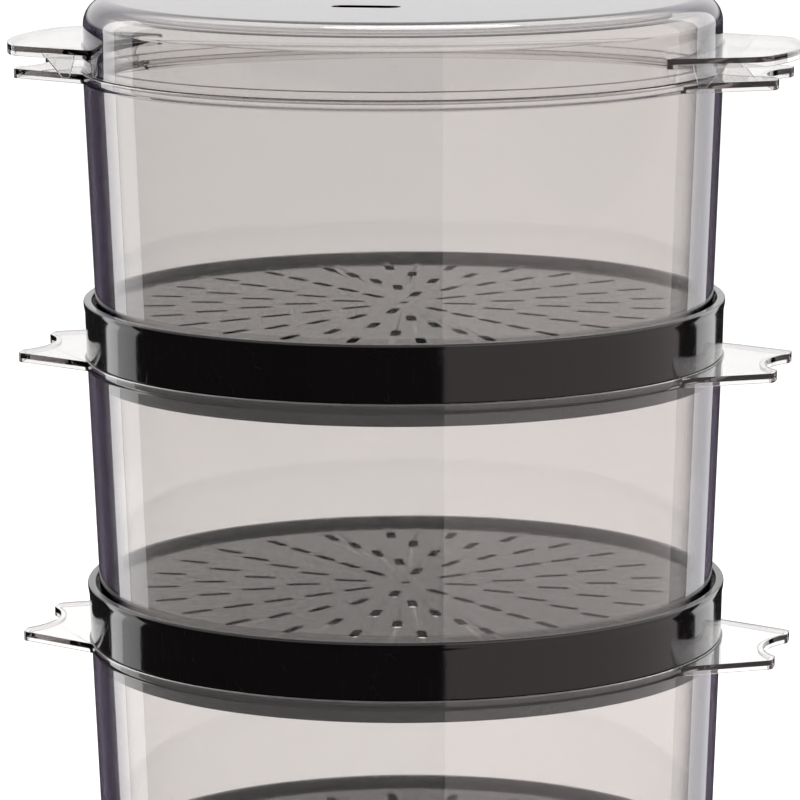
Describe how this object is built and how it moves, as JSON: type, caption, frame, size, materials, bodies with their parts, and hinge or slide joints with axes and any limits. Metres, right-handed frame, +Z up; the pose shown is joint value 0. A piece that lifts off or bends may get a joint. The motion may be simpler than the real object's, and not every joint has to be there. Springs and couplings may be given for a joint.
{
  "type": "electric food steamer",
  "caption": "Electric food steamer with a timer base and clear round bowls stacked on black steam trays under a clear lid",
  "frame": {"origin": "centre of the base, on the surface it stands on", "axes": "+Z up the stack; handles along X; timer knob towards -Y"},
  "size_m": [0.2796, 0.238, 0.4232],
  "materials": {
    "clear_plastic": "clear moulded polycarbonate, faintly smoky",
    "black_gloss": "black moulded plastic, polished",
    "black_satin": "black moulded plastic, fine texture",
    "steel_band": "brushed stainless strip",
    "heater_alloy": "cast aluminium, machined face",
    "element_steel": "heat-darkened steel tube",
    "zinc_steel": "zinc-plated steel",
    "white_rubber": "silicone rubber",
    "black_rubber": "soft black rubber",
    "red_lens": "clear red plastic",
    "neon_glass": "small glass lamp",
    "float_orange": "orange moulded plastic",
    "white_plastic": "white moulded plastic",
    "wire_brown": "brown wire sheath",
    "wire_blue": "blue wire sheath",
    "wire_green": "green wire sheath"
  },
  "bodies": {
    "base": {"base_housing": "black_gloss", "trim_band": "steel_band", "bottom_cover": "black_satin", "cover_screws": "zinc_steel", "heater_plate": "heater_alloy", "heater_seal": "white_rubber", "heating_element": "element_steel", "heater_clamp": "zinc_steel", "clamp_screws": "zinc_steel", "thermostat": "white_plastic", "thermal_fuse": "zinc_steel", "timer_body": "white_plastic", "timer_bracket": "zinc_steel", "timer_screws": "zinc_steel", "timer_bell": "zinc_steel", "shaft_bush": "white_plastic", "dial_plate": "black_satin", "lamp_lens": "red_lens", "lamp_holder": "black_satin", "pilot_lamp": "neon_glass", "lamp_leads": "white_plastic", "gauge_window": "clear_plastic", "gauge_chamber": "clear_plastic", "cord_gland": "black_rubber", "terminal_block": "white_plastic", "wire_neutral": "wire_blue", "wire_live": "wire_brown", "wire_earth": "wire_green", "wire_switched": "wire_brown", "wire_heater": "wire_brown", "foot_1": "black_rubber", "foot_2": "black_rubber", "foot_3": "black_rubber", "foot_4": "black_rubber"},
    "knob": {"timer_knob": "black_gloss", "timer_shaft": "zinc_steel"},
    "float": {"gauge_float": "float_orange"},
    "steam_ring_body": {"steam_ring": "black_satin"},
    "drip_body": {"drip_tray": "black_gloss"},
    "tray_body_1": {"steam_tray_1": "black_gloss"},
    "bowl_body_1": {"bowl_1": "clear_plastic"},
    "tray_body_2": {"steam_tray_2": "black_gloss"},
    "bowl_body_2": {"bowl_2": "clear_plastic"},
    "tray_body_3": {"steam_tray_3": "black_gloss"},
    "bowl_body_3": {"bowl_3": "clear_plastic"},
    "lid_body": {"lid": "clear_plastic"}
  },
  "joints": [
    {"name": "timer_turn", "type": "hinge", "parent": "base", "child": "knob", "pos_m": [0, -0.11, 0.045], "axis": [0, 1, 0], "range_deg": [0, 300]},
    {"name": "float_rise", "type": "slide", "parent": "base", "child": "float", "axis": [0, 0, 1], "range_m": [0, 0.028]},
    {"name": "steam_ring_lift", "type": "slide", "parent": "base", "child": "steam_ring_body", "axis": [0, 0, 1], "range_m": [0, 0.014]},
    {"name": "drip_tray_lift", "type": "slide", "parent": "base", "child": "drip_body", "axis": [0, 0, 1], "range_m": [0, 0.05]},
    {"name": "tray_lift_1", "type": "slide", "parent": "drip_body", "child": "tray_body_1", "axis": [0, 0, 1], "range_m": [0, 0.03]},
    {"name": "bowl_lift_1", "type": "slide", "parent": "tray_body_1", "child": "bowl_body_1", "axis": [0, 0, 1], "range_m": [0, 0.03]},
    {"name": "tray_lift_2", "type": "slide", "parent": "bowl_body_1", "child": "tray_body_2", "axis": [0, 0, 1], "range_m": [0, 0.03]},
    {"name": "bowl_lift_2", "type": "slide", "parent": "tray_body_2", "child": "bowl_body_2", "axis": [0, 0, 1], "range_m": [0, 0.03]},
    {"name": "tray_lift_3", "type": "slide", "parent": "bowl_body_2", "child": "tray_body_3", "axis": [0, 0, 1], "range_m": [0, 0.03]},
    {"name": "bowl_lift_3", "type": "slide", "parent": "tray_body_3", "child": "bowl_body_3", "axis": [0, 0, 1], "range_m": [0, 0.03]},
    {"name": "lid_lift", "type": "slide", "parent": "bowl_body_3", "child": "lid_body", "axis": [0, 0, 1], "range_m": [0, 0.05]}
  ]
}
